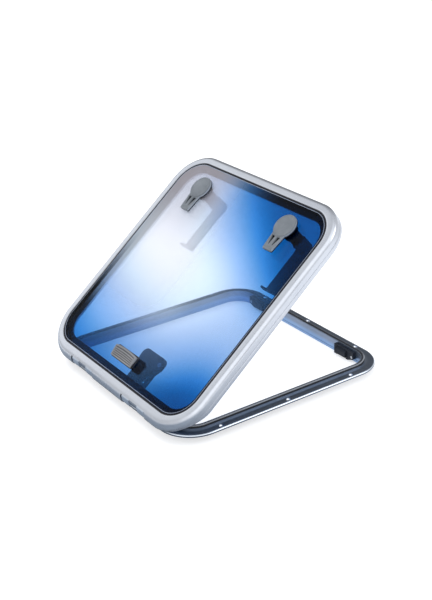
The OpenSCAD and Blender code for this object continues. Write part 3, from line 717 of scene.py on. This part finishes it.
def handle_lever(side, name):
    cx, cy = side * 143.0, HY
    outer = rounded([(-17.5, -6, 3), (-13.6, -52, 1.5), (-13.2, -56.2, 1.6), (-11.4, -58, 1.6),
                     (11.4, -58, 1.6), (13.2, -56.2, 1.6), (13.6, -52, 1.5), (17.5, -6, 3)])
    slots = [rounded([(i * 3.4, -26.4, 0.8), (i * 11.8, -25.4, 0.9), (i * 4.6, -50.0, 0.9)], 4) for i in (-1, 1)]
    grip = slab(outer, slots, 31.8, 38.0, 0.9)
    # a low floor under the slots, and the raised lip across the grip's end
    floor = slab(rounded([(-12.6, -22, 1), (-9, -51, 1), (9, -51, 1), (12.6, -22, 1)]), [], 31.7, 33.2, 0.25, 1)
    lip = slab(rounded([(-11.6, -57.4, 1.8), (11.6, -57.4, 1.8), (12.4, -53.0, 1.2), (-12.4, -53.0, 1.2)]), [], 35.0, 39.0, 0.9)
    prof = [(0, 31.7), (24.9, 31.7), (25.45, 32.1), (25.5, 32.7), (25.5, 36.9), (25.3, 37.9), (24.7, 38.8), (23.8, 39.3),
            (22.9, 39.4), (22.3, 39.15), (21.8, 38.85), (20.9, 38.75), (14, 39.05), (6, 39.2), (0, 39.25)]
    cap = lathe(prof, 0, 0, 112)
    rib = slab(rounded([(-2.9, -24, 0.6), (2.9, -24, 0.6), (4.4, -50.5, 0.8), (-4.4, -50.5, 0.8)]), [], 33.0, 38.5, 0.8)
    v, f = shift(join(grip, floor, lip, cap, rib), cx, cy)
    return add(name, v, f, L, M["grey"], "handle_" + ("left" if side < 0 else "right"), "grey_plastic",
               ["handle_left_lever" if side < 0 else "handle_right_lever"], deg=40)


handle_lever(-1, "left_outer_handle")
handle_lever(1, "right_outer_handle")


# ---------------------------------------------------------------- ribbed pad over the stay
def pad():
    """Domed cover: a raised border round five deep grooves, with a lower black skirt."""
    sy, hw = -194.0, 37.4
    rows, cols = 120, 72
    rings = []
    for i in range(cols + 1):
        u = -1 + 2 * i / cols
        x = hw * u
        bow = 2.6 * (1 - u * u)
        y0, y1 = sy - 13.0, sy + 10.4 + bow
        ring_ = [(x, y0 + 0.15, 30.02), (x, y0 + 0.1, 32.5)]
        edge = min(1.0, (1 - abs(u)) * hw / 2.0)
        drop = (1 - math.sqrt(max(0.0, 1 - (1 - edge) ** 2))) * 2.0
        inside = ease(((1 - abs(u)) * hw - 3.4) / 1.4)
        side = ease(((1 - abs(u)) * hw - 1.9) / 0.5) * ease((3.5 - (1 - abs(u)) * hw) / 0.5)
        for j in range(rows + 1):
            v = j / rows
            y = y0 + (y1 - y0) * v
            body = 34.2 + 3.2 * math.sin(min(1.0, v * 1.12) * math.pi / 2) ** 1.2
            ef = min(v, 1 - v) * (y1 - y0)
            if ef < 1.4:
                body -= 1.4 - math.sqrt(max(0.0, 1.4 * 1.4 - (1.4 - ef) ** 2))
            groove = 0.0
            for gv in (0.16, 0.31, 0.46, 0.61, 0.80):
                half = 0.045 if gv < 0.7 else 0.055
                groove = max(groove, 1 - ease(abs(v - gv) / half))
            depth = 1.5 * groove * inside
            if 0.10 < v < 0.86:
                depth = max(depth, 1.3 * side)
            ring_.append((x, y, body - depth - drop))
        ring_.append((x, y1 - 0.1, 32.5))
        ring_.append((x, y1 - 1.1, 30.02))
        rings.append(ring_)
    return loft(rings, closed_u=True, cap=True)


pad_o = add("stay_cover_pad", *pad(), L, M["pad"], "lid", "grey_plastic", ["stay_pad"], deg=50)
# painted shade: faces down in the grooves get the darker groove material
pad_o.data.materials.append(M["groove"])
LI = L.inverted()
for pl in pad_o.data.polygons:
    c_ = LI @ pl.center
    u_ = abs(c_.x) / 37.4
    v_ = (c_.y + 207.0) / (23.4 + 2.6 * (1 - u_ * u_))
    if u_ < 0.90 and c_.z > 33 and any(abs(v_ - g_) < h_ for g_, h_ in ((0.16, 0.026), (0.31, 0.026), (0.46, 0.026), (0.61, 0.026), (0.80, 0.034))):
        pl.material_index = 1


# ---------------------------------------------------------------- floor, light
fl = bpy.data.meshes.new("floor")
fl.from_pydata([(-9, -9, 0), (9, -9, 0), (9, 9, 0), (-9, 9, 0)], [], [(0, 1, 2, 3)])
floor = bpy.data.objects.new("floor", fl)
scene.collection.objects.link(floor)
floor.location = (0, 0, box0[0].z - 0.0005)
ft = Mat("floor", Roughness=0.8, Specular_IOR_Level=0.1)
# the sweep glows evenly; to glossy rays it is painted darker in front of the hinges, a painted shade that the metal
# mirrors
lp = ft.n.new("ShaderNodeLightPath")
vm = ft.n.new("ShaderNodeVectorMath")
vm.operation = "DISTANCE"
ft.link(ft.co(), vm.inputs[0])
vm.inputs[1].default_value = (0.05, -0.50, 0.0)
far = ft.rng(vm.outputs["Value"], 0.20, 0.95, 0.0, 1.0, smooth=True)
pale = ft.ramp(ft.noise(3, 3, 0.5), [(0.3, (0.53, 0.53, 0.54)), (0.7, (0.56, 0.56, 0.57))])
seen = ft.mix(far, (0.24, 0.28, 0.33), (0.62, 0.64, 0.67))
set_in(ft, "Base Color", ft.mix(lp.outputs["Is Glossy Ray"], pale, seen))
gl = ft.n.new("ShaderNodeMix")
ft.link(lp.outputs["Is Glossy Ray"], gl.inputs["Factor"])
gl.inputs[2].default_value = 0.62
ft.link(ft.rng(far, 0.0, 1.0, 0.0, 0.40), gl.inputs[3])
ft.b.inputs["Emission Color"].default_value = (1, 1, 1, 1)
ft.link(gl.outputs[0], ft.b.inputs["Emission Strength"])
fl.materials.append(ft.m)

# studio surround: white, with one dim quarter behind the hatch and a bright one on the near side
world = bpy.data.worlds.new("studio")
scene.world = world
world.use_nodes = True
wn, wl = world.node_tree.nodes, world.node_tree.links
bg = wn["Background"]
wco = wn.new("ShaderNodeTexCoord").outputs["Generated"]


def lobe(direction, c0, c1, v0, v1):
    d = wn.new("ShaderNodeVectorMath")
    d.operation = "DOT_PRODUCT"
    wl.new(wco, d.inputs[0])
    d.inputs[1].default_value = Vector(direction).normalized()
    r = wn.new("ShaderNodeMapRange")
    r.interpolation_type = "SMOOTHSTEP"
    wl.new(d.outputs["Value"], r.inputs["Value"])
    for k, v in zip(("From Min", "From Max", "To Min", "To Max"), (c0, c1, v0, v1)):
        r.inputs[k].default_value = v
    return r.outputs["Result"]


def wmul(x, y):
    k = wn.new("ShaderNodeMath")
    k.operation = "MULTIPLY"
    wl.new(x, k.inputs[0])
    if hasattr(y, "node"):
        wl.new(y, k.inputs[1])
    else:
        k.inputs[1].default_value = y
    return k.outputs[0]


glow = wmul(lobe((-0.80, 0.50, 0.38), 0.70, 0.97, 1.0, 0.40), lobe((0.45, -0.45, 0.77), 0.45, 0.95, 1.0, 1.9))
glow = wmul(glow, lobe((-0.87, -0.22, 0.44), 0.955, 0.997, 1.0, 1.8))
bg.inputs["Color"].default_value = (0.94, 0.965, 1.0, 1)
wl.new(wmul(glow, 0.80), bg.inputs["Strength"])


def area(name, loc, target, size, power, color=(1, 1, 1)):
    d = bpy.data.lights.new(name, "AREA")
    d.shape = "RECTANGLE"
    d.size, d.size_y = size
    d.energy = power
    d.color = color
    o = bpy.data.objects.new(name, d)
    scene.collection.objects.link(o)
    o.location = loc
    o.rotation_mode = "QUATERNION"
    o.rotation_quaternion = (Vector(target) - Vector(loc)).to_track_quat("-Z", "Y")
    return o


area("key", (-1.6, -0.3, 2.4), (0, 0, 0.15), (1.8, 1.4), 34).visible_glossy = False
area("fill", (1.8, 1.6, 1.8), (0, 0, 0.1), (1.6, 1.6), 16, (0.95, 0.97, 1.0))
scene.view_settings.view_transform = "Standard"
scene.view_settings.look = "None"
scene.view_settings.exposure = 0
scene.view_settings.gamma = 1
